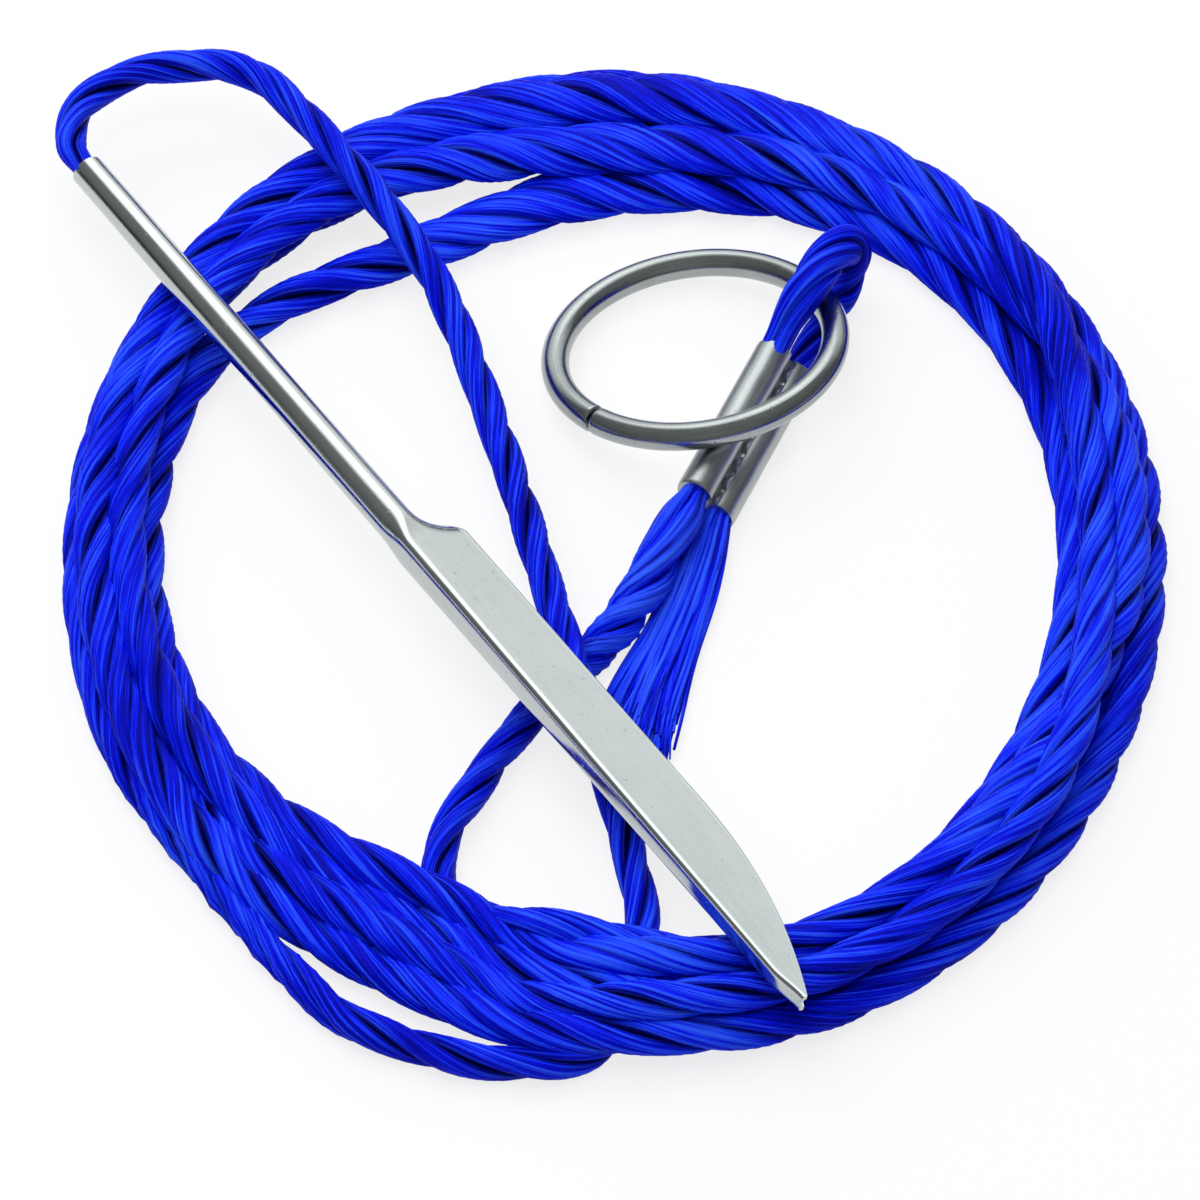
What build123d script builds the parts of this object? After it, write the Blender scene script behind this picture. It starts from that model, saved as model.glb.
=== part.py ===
from build123d import *
import math
import os

os.makedirs("parts", exist_ok=True)

# Fish stringer, in millimetres: a coiled cord with a needle on one end and a ring on the other.
# The origin is the middle of the coil on the table, +Z is up and -Y faces the viewer.

# Cord: twisted rope, modelled as an eight-sided tube
cord_diameter = 3.2
cord_sides = 8
table_flat = 0.32
seat_gap = 0.3
turning_gap = 0.5

# Coil: oval turns that spiral out on the lower layer and in again on the upper one
coil_inner_half_width = 40.6
coil_side_run = 16.0
turn_step = 4.1
layer_rise = 3.7
runs_per_layer = 5
coil_start_x = 2.6

# Turning line: where the cord to the needle crosses the coil
hinge_x = -26.5
hinge_y = 43.6
hinge_heading = -54.8
hinge_run = 11.3
joint_gap = 0.1

# Needle: one piece of sheet, rolled into a shank and folded into a blade
needle_mouth_x = -49.3
needle_mouth_y = 40.5
needle_heading = -55.75
needle_roll = 14.0
needle_sheet = 0.4
shank_length = 52.0
shank_mouth_diameter = 3.2
shank_shoulder_diameter = 3.5
shank_seam_length = 24.0
shank_seam_width = 0.3
shank_seam_angle = 150.0
shoulder_length = 5.0
blade_length = 59.5
blade_width = 6.9
blade_thickness = 3.0
tip_thickness = 1.7
blade_slit = 0.25
belly_length = 23.5
tip_inset = 1.1
tip_chamfer_length = 4.0
crimped_cord_length = 22.0
crimp_clearance = 0.03

# Ring: butt-jointed wire that leans on the ferrule
ring_outer_diameter = 28.6
ring_wire_diameter = 2.6
ring_wire_sides = 10
ring_center_x = 7.25
ring_center_y = 21.9
ring_tilt = 12.8
ring_downhill_heading = 126.0
ring_joint_angle = 201.0
ring_joint_gap = 0.35

# Eye: the loop of cord that holds the ring
eye_cord_diameter = 3.0
eye_bearing = 25.0
eye_clearance = 0.75
eye_reach = 6.2

# Ferrule: sheet folded round both legs of the eye and crimped
ferrule_length = 19.0
ferrule_sheet = 0.4
ferrule_top_x = 14.6
ferrule_top_y = 22.0
ferrule_heading = -113.5
ferrule_roll = 45.0
ferrule_bore = 2.7
ferrule_web = 0.3
ferrule_groove_width = 1.5
ferrule_groove_depth = 1.0
ferrule_tooth_count = 7
ferrule_tooth_width = 0.8
ferrule_tooth_depth = 0.45

# Tail: the flattened, frayed stub of cord past the ferrule
tail_start_diameter = 2.0
tail_widths = [3.4, 4.6, 5.4, 5.6]
tail_thickness = 1.6

# Heights that follow from the sizes above
cord_radius = cord_diameter / 2
lower_layer_z = cord_radius - table_flat
upper_layer_z = lower_layer_z + layer_rise
coil_top_z = upper_layer_z + cord_radius
over_coil_z = coil_top_z + turning_gap + cord_radius
needle_z = coil_top_z + seat_gap + shank_shoulder_diameter / 2


def cord_section(diameter):
    """Eight-sided cord section with a flat side down."""
    return RegularPolygon(diameter / 2, cord_sides, major_radius=False, rotation=180 / cord_sides)


def section_area(diameter):
    """Area of the eight-sided section."""
    return cord_sides * math.tan(math.pi / cord_sides) * (diameter / 2) ** 2


def square_plane(origin, direction):
    """Plane square to a direction, with its x axis level."""
    direction = Vector(*direction).normalized()
    level = Vector(0, 0, 1).cross(direction)
    return Plane(origin=origin, x_dir=level, z_dir=direction)


def corner_radii(points):
    """Largest even radius at each corner of a route: 0.45 of the shorter run."""
    radii = []
    for before, corner, after in zip(points, points[1:], points[2:]):
        run_in = corner - before
        run_out = after - corner
        turn = math.radians(run_in.get_angle(run_out))
        radii.append(0.45 * min(run_in.length, run_out.length) / math.tan(turn / 2))
    return radii


def cord_tube(name, route, diameter):
    """Tube along straight runs and tangent arcs."""
    points = [Vector(*point) for point in route]
    radii = corner_radii(points)
    path = FilletPolyline(*points, radius=radii)
    start = square_plane(points[0], points[1] - points[0])
    tube = sweep(start * cord_section(diameter), path=path)
    print(name, "radii", [round(radius, 1) for radius in radii])
    share = tube.volume / (section_area(diameter) * path.length)
    print(name, "length", round(path.length, 1), "volume share", round(share, 4))
    return tube


def above_table(solid):
    """Cut a solid flat where it lies on the table."""
    size = 400
    return solid - Pos(0, 0, -size / 2) * Box(size, size, size)


# Coil
half_run = coil_side_run / 2
outward = [coil_inner_half_width + turn_step * k / 2 for k in range(runs_per_layer)]
half_widths = outward + outward[::-1]
layer_heights = [lower_layer_z] * runs_per_layer + [upper_layer_z] * runs_per_layer
coil_start_radius = coil_inner_half_width - coil_start_x
coil_start = Vector(coil_start_x - cord_diameter, -half_run - coil_start_radius, lower_layer_z)
coil_end = Vector(-coil_inner_half_width, -half_run, upper_layer_z)


def coil_path():
    """Straight side runs joined by half-turn arcs, right side up and left side down."""
    arc_start = coil_start + Vector(cord_diameter, 0, 0)
    diagonal = coil_start_radius * math.sqrt(0.5)
    arc_middle = Vector(coil_start_x + diagonal, -half_run - diagonal, lower_layer_z)
    arc_end = Vector(half_widths[0], -half_run, lower_layer_z)
    edges = [Line(coil_start, arc_start), ThreePointArc(arc_start, arc_middle, arc_end)]
    here = arc_end
    for index, (half_width, z) in enumerate(zip(half_widths, layer_heights)):
        side = 1 if index % 2 == 0 else -1
        run_end = Vector(side * half_width, side * half_run, z)
        edges.append(Line(here, run_end))
        if index + 1 == len(half_widths):
            break
        here = Vector(-side * half_widths[index + 1], side * half_run, layer_heights[index + 1])
        radius = (here - run_end).length / 2
        middle = (here + run_end) / 2 + Vector(0, side * radius, 0)
        edges.append(ThreePointArc(run_end, middle, here))
    return Wire([edge for curve in edges for edge in curve.edges()])


def least_gap(path, diameter):
    """Smallest gap between turns, measured on points along the path."""
    count = round(path.length / 2)
    spacing = path.length / count
    points = [path @ (k / count) for k in range(count + 1)]
    apart = math.ceil(10 * diameter / spacing)
    pairs = ((i, j) for i in range(count) for j in range(i + apart, count + 1))
    return min((points[i] - points[j]).length for i, j in pairs) - diameter


def make_coil():
    path = coil_path()
    start = square_plane(coil_start, (1, 0, 0))
    tube = sweep(start * cord_section(cord_diameter), path=path)
    share = tube.volume / (section_area(cord_diameter) * path.length)
    print("cord_coil length", round(path.length, 1), "volume share", round(share, 4))
    print("cord_coil least gap", round(least_gap(path, cord_diameter), 2))
    return above_table(tube)


# Needle, along its own X axis from the mouth to the tip, with the blade's edge on +Y
needle_plane = Plane(
    origin=(needle_mouth_x, needle_mouth_y, needle_z),
    x_dir=Vector(1, 0, 0).rotate(Axis.Z, needle_heading),
    z_dir=(0, 0, 1),
)
needle_place = needle_plane.location * Rot(-needle_roll, 0, 0)
mouth_radius = shank_mouth_diameter / 2
shoulder_radius = shank_shoulder_diameter / 2
blade_start = shank_length + shoulder_length
needle_length = blade_start + blade_length
spine_y = -shoulder_radius
edge_y = spine_y + blade_width


spine_angles = [math.radians(a) for a in range(90, 271, 15)]
leaf_angles = [math.radians(a) for a in (285, 315, 345, 375, 405, 435)]
leaf_shares = [1 / 3, 2 / 3, 1]


def round_section(x, inset):
    """Round section of the shank at x, its points matched to the blade's."""
    radius = mouth_radius + (shoulder_radius - mouth_radius) * x / shank_length - inset
    points = [(radius * math.cos(a), radius * math.sin(a)) for a in spine_angles + leaf_angles]
    return across_needle(x) * Polygon(*points, align=None)


def blade_section(x, inset):
    """Folded blade section: a round spine and two leaves that close towards the edge."""
    share = (x - blade_start) / blade_length
    spine_radius = (blade_thickness + (tip_thickness - blade_thickness) * share) / 2
    radius = spine_radius - inset
    centre = spine_y + spine_radius
    half_edge = blade_slit / 2 + needle_sheet - inset
    spine = [(centre + radius * math.cos(a), radius * math.sin(a)) for a in spine_angles]
    lower = [(centre + (edge_y - centre) * k, -radius + (radius - half_edge) * k) for k in leaf_shares]
    upper = [(y, -z) for y, z in reversed(lower)]
    return across_needle(x) * Polygon(*spine, *lower, *upper, align=None)


def across_needle(x):
    """Plane across the needle, with its own x along the blade's width."""
    return Plane(origin=(x, 0, 0), x_dir=(0, 1, 0), z_dir=(1, 0, 0))


def blade_outline():
    """Plan of the blade: straight spine, curved belly and an off-centre point."""
    tip = (needle_length, spine_y + tip_inset)
    belly = (needle_length - belly_length, edge_y)
    lines = [
        Line((shank_length, spine_y), (needle_length - tip_chamfer_length, spine_y)),
        Line((needle_length - tip_chamfer_length, spine_y), tip),
        TangentArc(belly, tip, tangent=(1, 0)),
        Line(belly, (shank_length, edge_y)),
        Line((shank_length, edge_y), (shank_length, spine_y)),
    ]
    return extrude(make_face(lines), blade_thickness, both=True)


def needle_body(inset):
    """Shank, shoulder and blade in one, drawn in by a sheet thickness for the hollow."""
    sections = [
        round_section(0, inset),
        round_section(shank_length, inset),
        blade_section(blade_start, inset),
        blade_section(needle_length, inset),
    ]
    return loft(sections, ruled=True)


def make_needle():
    room = 2 * blade_width
    shank_room = Box(shank_length, room, room, align=(Align.MIN, Align.CENTER, Align.CENTER))
    shell = needle_body(0) & (shank_room + blade_outline())
    shell -= needle_body(needle_sheet)
    slot = Box(
        shank_seam_length,
        shank_shoulder_diameter,
        shank_seam_width,
        align=(Align.MIN, Align.MIN, Align.CENTER),
    )
    return needle_place * (shell - Rot(shank_seam_angle, 0, 0) * slot)


def make_crimped_cord():
    """Cord end inside the shank."""
    inset = needle_sheet + crimp_clearance
    sections = [round_section(x, inset) for x in (0, crimped_cord_length)]
    return needle_place * loft(sections, ruled=True)


# Ring, in its own plane with X towards the eye
ring_radius = (ring_outer_diameter - ring_wire_diameter) / 2
wire_radius = ring_wire_diameter / 2
tilt = math.radians(ring_tilt)
downhill = math.radians(ring_downhill_heading)
bearing = math.radians(eye_bearing)
ring_normal = Vector(
    math.sin(tilt) * math.cos(downhill),
    math.sin(tilt) * math.sin(downhill),
    math.cos(tilt),
)
eye_slope = -math.tan(tilt) * math.cos(bearing - downhill)
eye_direction = Vector(math.cos(bearing), math.sin(bearing), eye_slope).normalized()
eye_under_z = eye_cord_diameter / 2
eye_wire_z = eye_under_z + eye_cord_diameter / 2 + eye_clearance + wire_radius
eye_over_z = eye_wire_z + wire_radius + eye_clearance + eye_cord_diameter / 2
ring_center_z = eye_wire_z - ring_radius * eye_direction.Z
ring_center = Vector(ring_center_x, ring_center_y, ring_center_z)
ring_plane = Plane(origin=ring_center, x_dir=eye_direction, z_dir=ring_normal)
eye_point = ring_center + eye_direction * ring_radius


def make_ring():
    gap_angle = math.degrees(ring_joint_gap / ring_radius)
    outline = RegularPolygon(wire_radius, ring_wire_sides, rotation=180 / ring_wire_sides)
    section = Plane.XZ * Pos(ring_radius, 0) * outline
    wire = revolve(section, Axis.Z, revolution_arc=360 - gap_angle)
    return ring_plane.location * Rot(0, 0, ring_joint_angle + gap_angle / 2) * wire


# Ferrule, in its own frame with X from the upper lobe to the lower one and Z down its length
lobe_radius = ferrule_bore / 2 + ferrule_sheet
lobe_step = ferrule_bore + ferrule_web
roll = math.radians(ferrule_roll)
ferrule_direction = Vector(1, 0, 0).rotate(Axis.Z, ferrule_heading)
ferrule_right = ferrule_direction.cross(Vector(0, 0, -1))
lobe_direction = ferrule_right * math.cos(roll) - Vector(0, 0, math.sin(roll))
upper_lobe_z = lobe_radius + lobe_step * math.sin(roll)
upper_lobe_top = Vector(ferrule_top_x, ferrule_top_y, upper_lobe_z)
lower_lobe_top = upper_lobe_top + lobe_direction * lobe_step
upper_lobe_bottom = upper_lobe_top + ferrule_direction * ferrule_length
lower_lobe_bottom = lower_lobe_top + ferrule_direction * ferrule_length
ferrule_plane = Plane(origin=upper_lobe_top, x_dir=lobe_direction, z_dir=ferrule_direction)


def make_ferrule():
    middle = lobe_step / 2
    outline = Pos(middle, 0) * SlotCenterToCenter(lobe_step, 2 * lobe_radius)
    groove = Polygon(
        (middle - ferrule_groove_width / 2, lobe_radius),
        (middle, lobe_radius - ferrule_groove_depth),
        (middle + ferrule_groove_width / 2, lobe_radius),
        align=None,
    )
    bores = [Pos(x, 0) * Circle(ferrule_bore / 2) for x in (0, lobe_step)]
    body = extrude(outline - groove - bores, ferrule_length)
    pitch = ferrule_length / ferrule_tooth_count
    tooth_x = middle + ferrule_groove_width / 2
    tooth_y = lobe_radius - ferrule_tooth_depth
    notch = Polygon(
        (tooth_x + ferrule_tooth_width, 0),
        (tooth_x - ferrule_tooth_width, pitch / 2),
        (tooth_x - ferrule_tooth_width, -pitch / 2),
        align=None,
    )
    flange_side = Plane(origin=(0, tooth_y, 0), x_dir=(1, 0, 0), z_dir=(0, 1, 0))
    notch = extrude(flange_side * notch, ferrule_sheet + lobe_radius)
    for index in range(ferrule_tooth_count):
        body -= Pos(0, 0, pitch * (index + 0.5)) * notch
    return ferrule_plane.location * body


# Eye: up the upper lobe, over and under the ring's wire, and down the lower lobe
def make_eye():
    lobes_middle = (upper_lobe_top + lower_lobe_top) / 2
    outward_way = eye_point - lobes_middle
    outward_way = Vector(outward_way.X, outward_way.Y, 0).normalized()
    over = Vector(eye_point.X, eye_point.Y, eye_over_z)
    under = Vector(eye_point.X, eye_point.Y, eye_under_z)
    upper_start = upper_lobe_top + (over - outward_way * 2.5 - upper_lobe_top) * 0.5
    lower_start = lower_lobe_top + (under - outward_way * 2.5 - lower_lobe_top) * 0.5
    route = [
        upper_start,
        over - outward_way * 2.5,
        over + outward_way * eye_reach,
        under + outward_way * eye_reach,
        lower_start,
    ]
    loop = cord_tube("cord_eye", route, eye_cord_diameter)
    crimped = (ferrule_bore - 2 * crimp_clearance) * math.cos(math.pi / cord_sides)
    upper_end = square_plane(upper_start, route[1] - route[0])
    lower_end = square_plane(lower_start, route[-2] - route[-1])
    upper_mouth = square_plane(upper_lobe_top, -ferrule_direction)
    lower_mouth = square_plane(lower_lobe_top, -ferrule_direction)
    solid = loop
    for mouth, end in ((upper_mouth, upper_end), (lower_mouth, lower_end)):
        solid += loft([mouth * cord_section(crimped), end * cord_section(eye_cord_diameter)])
        solid += extrude(mouth * cord_section(crimped), -ferrule_length)
    return solid


# Free stretches of cord, by the points of their routes
hinge_point = Vector(hinge_x, hinge_y, over_coil_z)
hinge_way = Vector(1, 0, 0).rotate(Axis.Z, hinge_heading)
needle_way = needle_place.position - (needle_place * Pos(1, 0, 0)).position

loop_route = [
    needle_place.position,
    needle_place.position + needle_way * 3.5,
    (-51.0, 49.2, 8.7),
    (-46.8, 54.6, 7.6),
    (-39.4, 56.0, 7.4),
    hinge_point - hinge_way * hinge_run,
    hinge_point - hinge_way * joint_gap,
]
lead_route = [
    hinge_point,
    hinge_point + hinge_way * 5.5,
    (-18.2, 31.2, 7.5),
    (-14.2, 22.6, 6.0),
    (-11.6, 13.2, 5.2),
    (-8.0, 0.5, 4.85),
    (-3.6, -18.8, 4.85),
    (0.9, -34.0, 4.9),
    (-0.7, -40.2, upper_layer_z),
    (-5.2, -44.6, upper_layer_z),
    (-11.2, -46.0, upper_layer_z),
    (-17.3, -44.3, upper_layer_z),
    (-26.5, -38.4, upper_layer_z),
    (-35.4, -27.7, upper_layer_z),
    (-39.0, -20.5, upper_layer_z),
    coil_end + Vector(0, -5.0, 0),
    coil_end,
]
leg_route = [
    upper_lobe_bottom,
    upper_lobe_bottom + ferrule_direction * 5.0,
    (0.5, -9.2, 1.6),
    (-6.9, -17.6, lower_layer_z),
    (-12.8, -27.2, lower_layer_z),
    (-15.1, -33.0, lower_layer_z),
    (-14.4, -38.7, lower_layer_z),
    (-11.2, -43.5, lower_layer_z),
    coil_start - Vector(5.6, 0, 0),
    coil_start,
]
tail_points = [(7.9, -3.5), (5.9, -9.5), (3.6, -15.0), (2.2, -20.0)]


def flat_section(width, thickness):
    """Eight-sided section squashed to a width and a thickness."""
    return scale(cord_section(1), by=(width, thickness, 1))


def make_tail():
    half = tail_thickness / 2
    mouth = square_plane(lower_lobe_bottom, ferrule_direction)
    sections = [mouth * cord_section(tail_start_diameter)]
    before = lower_lobe_bottom
    for (x, y), width in zip(tail_points, tail_widths):
        point = Vector(x, y, half)
        place = square_plane(point, (x - before.X, y - before.Y, 0))
        sections.append(place * flat_section(width, tail_thickness))
        before = point
    return loft(sections, ruled=True)


parts = {
    "needle": make_needle(),
    "ring": make_ring(),
    "ferrule": make_ferrule(),
    "cord_coil": make_coil(),
    "cord_lead": cord_tube("cord_lead", lead_route, cord_diameter),
    "cord_needle_loop": cord_tube("cord_needle_loop", loop_route, cord_diameter),
    "cord_needle_stub": make_crimped_cord(),
    "cord_ring_leg": above_table(cord_tube("cord_ring_leg", leg_route, cord_diameter)),
    "cord_eye": make_eye(),
    "cord_tail": make_tail(),
}
for node, solid in parts.items():
    export_step(solid, f"parts/{node}.step")
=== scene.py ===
import math
import bpy
import numpy as np
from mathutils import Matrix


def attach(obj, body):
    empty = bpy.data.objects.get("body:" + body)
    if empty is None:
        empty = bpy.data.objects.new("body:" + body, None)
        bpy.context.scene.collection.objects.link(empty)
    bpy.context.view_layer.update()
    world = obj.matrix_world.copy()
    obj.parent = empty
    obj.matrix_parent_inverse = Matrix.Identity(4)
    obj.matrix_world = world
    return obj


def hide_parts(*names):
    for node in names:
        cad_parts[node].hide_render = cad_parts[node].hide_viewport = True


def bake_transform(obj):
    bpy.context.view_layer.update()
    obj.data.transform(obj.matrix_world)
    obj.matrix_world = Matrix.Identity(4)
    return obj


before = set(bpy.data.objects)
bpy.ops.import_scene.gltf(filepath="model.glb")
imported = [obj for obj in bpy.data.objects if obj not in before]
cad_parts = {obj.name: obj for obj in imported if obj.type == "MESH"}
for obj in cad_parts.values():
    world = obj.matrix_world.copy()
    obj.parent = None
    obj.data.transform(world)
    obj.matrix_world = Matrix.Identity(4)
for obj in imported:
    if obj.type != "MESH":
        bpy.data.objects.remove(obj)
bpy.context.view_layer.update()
mm = 0.001
scene = bpy.context.scene
scene.view_settings.view_transform = "Standard"
random = np.random.default_rng(7)
print("stage: frame loaded")


# A shader value: a socket with arithmetic, so that a material reads as a formula
class Value:
    def __init__(self, tree, socket=None):
        self.tree = tree
        self.socket = socket

    # Any node: its settings are set first, then its inputs are linked or given a value
    def node(self, kind, settings=(), inputs=(), output=0):
        made = self.tree.nodes.new("ShaderNode" + kind)
        for name, setting in dict(settings).items():
            setattr(made, name, setting)
        for name, value in dict(inputs).items():
            if isinstance(value, Value):
                self.tree.links.new(value.socket, made.inputs[name])
            else:
                made.inputs[name].default_value = value
        return Value(self.tree, made.outputs[output] if made.outputs else None)

    def math(self, operation, *others):
        return self.node("Math", {"operation": operation}, dict(enumerate([self, *others])))

    def __add__(self, other):
        return self.math("ADD", other)

    def __radd__(self, other):
        return self.math("ADD", other)

    def __sub__(self, other):
        return self.math("SUBTRACT", other)

    def __rsub__(self, other):
        return (self * -1.0) + other

    def __mul__(self, other):
        return self.math("MULTIPLY", other)

    def __rmul__(self, other):
        return self.math("MULTIPLY", other)

    def __truediv__(self, other):
        return self.math("DIVIDE", other)

    def __pow__(self, other):
        return self.math("POWER", other)

    def clipped(self):
        return self.math("MINIMUM", 1.0).math("MAXIMUM", 0.0)

    # 0 below the low mark, 1 above the high one and straight between them
    def between(self, low, high):
        return ((self - low) / (high - low)).clipped()

    def coordinates(self, kind):
        return self.node("TexCoord", output=kind)

    def noise(self, vector, scale=1.0, detail=2.0, rough=0.5, space="3D"):
        inputs = {"Vector": vector, "Scale": scale, "Detail": detail, "Roughness": rough}
        return self.node("TexNoise", {"noise_dimensions": space}, inputs)

    # The first colour at 0 and the second at 1; the Mix node keeps its colour sockets at 6, 7 and 2
    def mixed(self, first, second):
        settings = {"data_type": "RGBA", "clamp_factor": True}
        return self.node("Mix", settings, {0: self, 6: first, 7: second}, 2)

    def stretched(self, vector, scale):
        return self.node("Mapping", (), {"Vector": vector, "Scale": scale})

    def bump(self, strength, distance):
        return self.node("Bump", (), {"Height": self, "Strength": strength, "Distance": distance})


# Each value times its share, added up
def weighted(values, shares):
    parts = [value * share for value, share in zip(values, shares)]
    return sum(parts[1:], parts[0])


def newMaterial(name):
    made = bpy.data.materials.new(name)
    made.use_nodes = True
    made.node_tree.nodes.clear()
    return made, Value(made.node_tree)


def finishMaterial(value, inputs):
    shader = value.node("BsdfPrincipled", (), inputs)
    value.node("OutputMaterial", (), {"Surface": shader})


# Rope finish: filaments are fine streaks along each strand, from a noise drawn out along the strand.
# The attribute "outward" is 0 in the creases between strands, 1 on their crowns and more where they open.
ropeLook = {
    # painted shade: the colour laid into the creases between strands
    "creaseShade": (0.0004, 0.0008, 0.10, 1),
    "deep": (0.0006, 0.0022, 0.30, 1),
    "body": (0.0008, 0.0070, 0.95, 1),
    "pale": (0.030, 0.120, 1.00, 1),
    "loose": (0.034, 0.120, 1.00, 1),
    "filamentScale": (30.0, 95.0, 1),
    "yarnScale": (8.0, 40.0, 1),
    "patchScale": 70.0,
    "yarns": 9.0,
    "yarnWander": 5.0,
    "toneShares": (0.45, 0.25, 0.25, 0.07),
    "toneShift": -0.01,
    "heightShares": (0.7, 0.6, 0.22),
    "deepToBody": (0.40, 0.54),
    "bodyToPale": (0.50, 0.66),
    # painted shade fades from the creases to the crowns over this range of outward
    "creaseShadeToCrown": (0.22, 0.62),
    "crownToOpen": (1.0, 1.6),
    "openTone": (0.38, 0.62),
    "openShare": 0.8,
    "roughness": 0.36,
    "roughnessSpan": 0.25,
    "bumpStrength": 0.85,
    "bumpHeight": 0.25 * mm,
    "specular": 0.05,
}


# The tone is a weighted sum of the streaks, the yarns, slow patches and the grooves between yarns. The
# streaks, yarns and patches vary the blue at random, and the grooves darken it between the yarns as painted
# shade.
# It runs through the blues from deep to pale. Painted shade makes it darker in the creases between strands,
# and it is paler where the strands open.
def ropeMaterial(name):
    look = ropeLook
    made, value = newMaterial(name)
    uv = value.coordinates("UV")
    fine = value.noise(value.stretched(uv, look["filamentScale"]), detail=3.0, rough=0.6, space="2D")
    yarn = value.noise(value.stretched(uv, look["yarnScale"]), space="2D")
    patch = value.noise(value.coordinates("Object"), look["patchScale"])
    around = value.node("SeparateXYZ", (), {0: uv})
    wave = (around * (2 * math.pi * look["yarns"]) + yarn * look["yarnWander"]).math("SINE")
    # painted shade: the tone drops in the grooves between yarns; the same groove also drives the bump
    groove = (wave * 0.5 + 0.5) ** 0.5
    tone = weighted((fine, yarn, patch, groove), look["toneShares"]) + look["toneShift"]
    dark = tone.between(*look["deepToBody"]).mixed(look["deep"], look["body"])
    colour = tone.between(*look["bodyToPale"]).mixed(dark, look["pale"])
    outward = value.node("Attribute", {"attribute_name": "outward"}, output="Fac")
    # Painted shade: the crease colour darkens each strand where it meets the others
    creaseShaded = outward.between(*look["creaseShadeToCrown"]).mixed(look["creaseShade"], colour)
    opened = outward.between(*look["crownToOpen"]) * tone.between(*look["openTone"]) * look["openShare"]
    height = weighted((fine, yarn, groove), look["heightShares"])
    finishMaterial(value, {
        "Base Color": opened.mixed(creaseShaded, look["loose"]),
        "Roughness": fine * look["roughnessSpan"] + look["roughness"],
        "Normal": height.bump(look["bumpStrength"], look["bumpHeight"]),
        "Specular IOR Level": look["specular"],
    })
    return made


# Bright plated steel: fine drawing lines along the piece, faint dull patches, grain and small pits
steelLook = {
    "needleSteel": {"colour": (0.55, 0.59, 0.59), "lines": (60.0, 40.0, 1), "roughness": 0.04, "dull": 0.84},
    "ringSteel": {"colour": (0.42, 0.45, 0.45), "lines": (50.0, 60.0, 1), "roughness": 0.10, "dull": 0.62},
    "ferruleSteel": {"colour": (0.52, 0.55, 0.55), "lines": (40.0, 90.0, 1), "roughness": 0.26, "dull": 0.66},
}
steelDetail = {
    "patchScale": 260.0,
    "pitScale": 2100.0,
    "pitEdge": (0.68, 0.78),
    "grainScale": 6000.0,
    "shadeShares": (0.40, 0.35, 0.25, -0.08),
    "shadeEdge": (0.30, 0.68),
    "roughShares": (0.12, 0.08, 0.2),
    "heightShares": (0.6, 0.5, -1.0),
    "bumpStrength": 0.22,
    "bumpHeight": 0.06 * mm,
}


# Shade, roughness and height are weighted sums of the lines, the patches, the grain and the pits
def steelMaterial(name):
    look = steelLook[name]
    made, value = newMaterial(name)
    place = value.coordinates("Object")
    along = value.stretched(value.coordinates("UV"), look["lines"])
    drawn = value.noise(along, detail=4.0, rough=0.65, space="2D")
    patch = value.noise(place, steelDetail["patchScale"], detail=4.0, rough=0.6)
    pits = value.noise(place, steelDetail["pitScale"]).between(*steelDetail["pitEdge"])
    grain = value.noise(place, steelDetail["grainScale"], rough=0.6)
    shade = weighted((drawn, patch, grain, pits), steelDetail["shadeShares"])
    bright = look["colour"] + (1,)
    dim = tuple(channel * look["dull"] for channel in look["colour"]) + (1,)
    rough = weighted((drawn, patch, pits), steelDetail["roughShares"])
    height = weighted((drawn, patch, pits), steelDetail["heightShares"])
    finishMaterial(value, {
        "Base Color": shade.between(*steelDetail["shadeEdge"]).mixed(dim, bright),
        "Metallic": 1.0,
        "Roughness": rough + look["roughness"],
        "Normal": height.bump(steelDetail["bumpStrength"], steelDetail["bumpHeight"]),
    })
    return made


ropeBlue = ropeMaterial("ropeBlue")
needleSteel = steelMaterial("needleSteel")
ringSteel = steelMaterial("ringSteel")
ferruleSteel = steelMaterial("ferruleSteel")
print("stage: materials made")


# A mesh piece from points, faces and one UV for each face corner, smooth but for edges sharper than an angle
def meshPiece(name, points, faces, uvs, material, sharp=None, outward=None):
    mesh = bpy.data.meshes.new(name)
    mesh.from_pydata(points.reshape(-1, 3).tolist(), [], faces if isinstance(faces, list) else faces.tolist())
    mesh.polygons.foreach_set("use_smooth", np.ones(len(mesh.polygons), bool))
    mesh.uv_layers.new(name="UVMap").data.foreach_set("uv", uvs.astype(np.float32).ravel())
    if sharp is not None:
        mesh.set_sharp_from_angle(angle=math.radians(sharp))
    if outward is not None:
        attribute = mesh.attributes.new("outward", "FLOAT", "POINT")
        attribute.data.foreach_set("value", outward.astype(np.float32))
    mesh.update()
    mesh.materials.append(material)
    piece = bpy.data.objects.new(name, mesh)
    scene.collection.objects.link(piece)
    return piece


# Quads of a grid of rows by columns whose columns close on themselves, and their UVs
def tubeGrid(rows, columns, along, first=0, twist=0.0):
    row, column = np.meshgrid(np.arange(rows - 1), np.arange(columns), indexing="ij")
    after = (column + 1) % columns
    faces = np.stack([
        row * columns + column,
        row * columns + after,
        (row + 1) * columns + after,
        (row + 1) * columns + column,
    ], -1).reshape(-1, 4) + first
    u = np.stack([column, column + 1, column + 1, column], -1) / columns
    v = along[np.stack([row, row, row + 1, row + 1], -1)]
    return faces, np.stack([u + v * twist, v], -1).reshape(-1, 2)


# The same quads with a flat face over each end
def cappedGrid(rows, columns, along):
    faces, uvs = tubeGrid(rows, columns, along)
    start = np.arange(columns)[::-1]
    end = np.arange(columns) + (rows - 1) * columns
    uvs = np.concatenate([uvs, np.zeros((2 * columns, 2))])
    return faces.tolist() + [start.tolist(), end.tolist()], uvs


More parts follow.
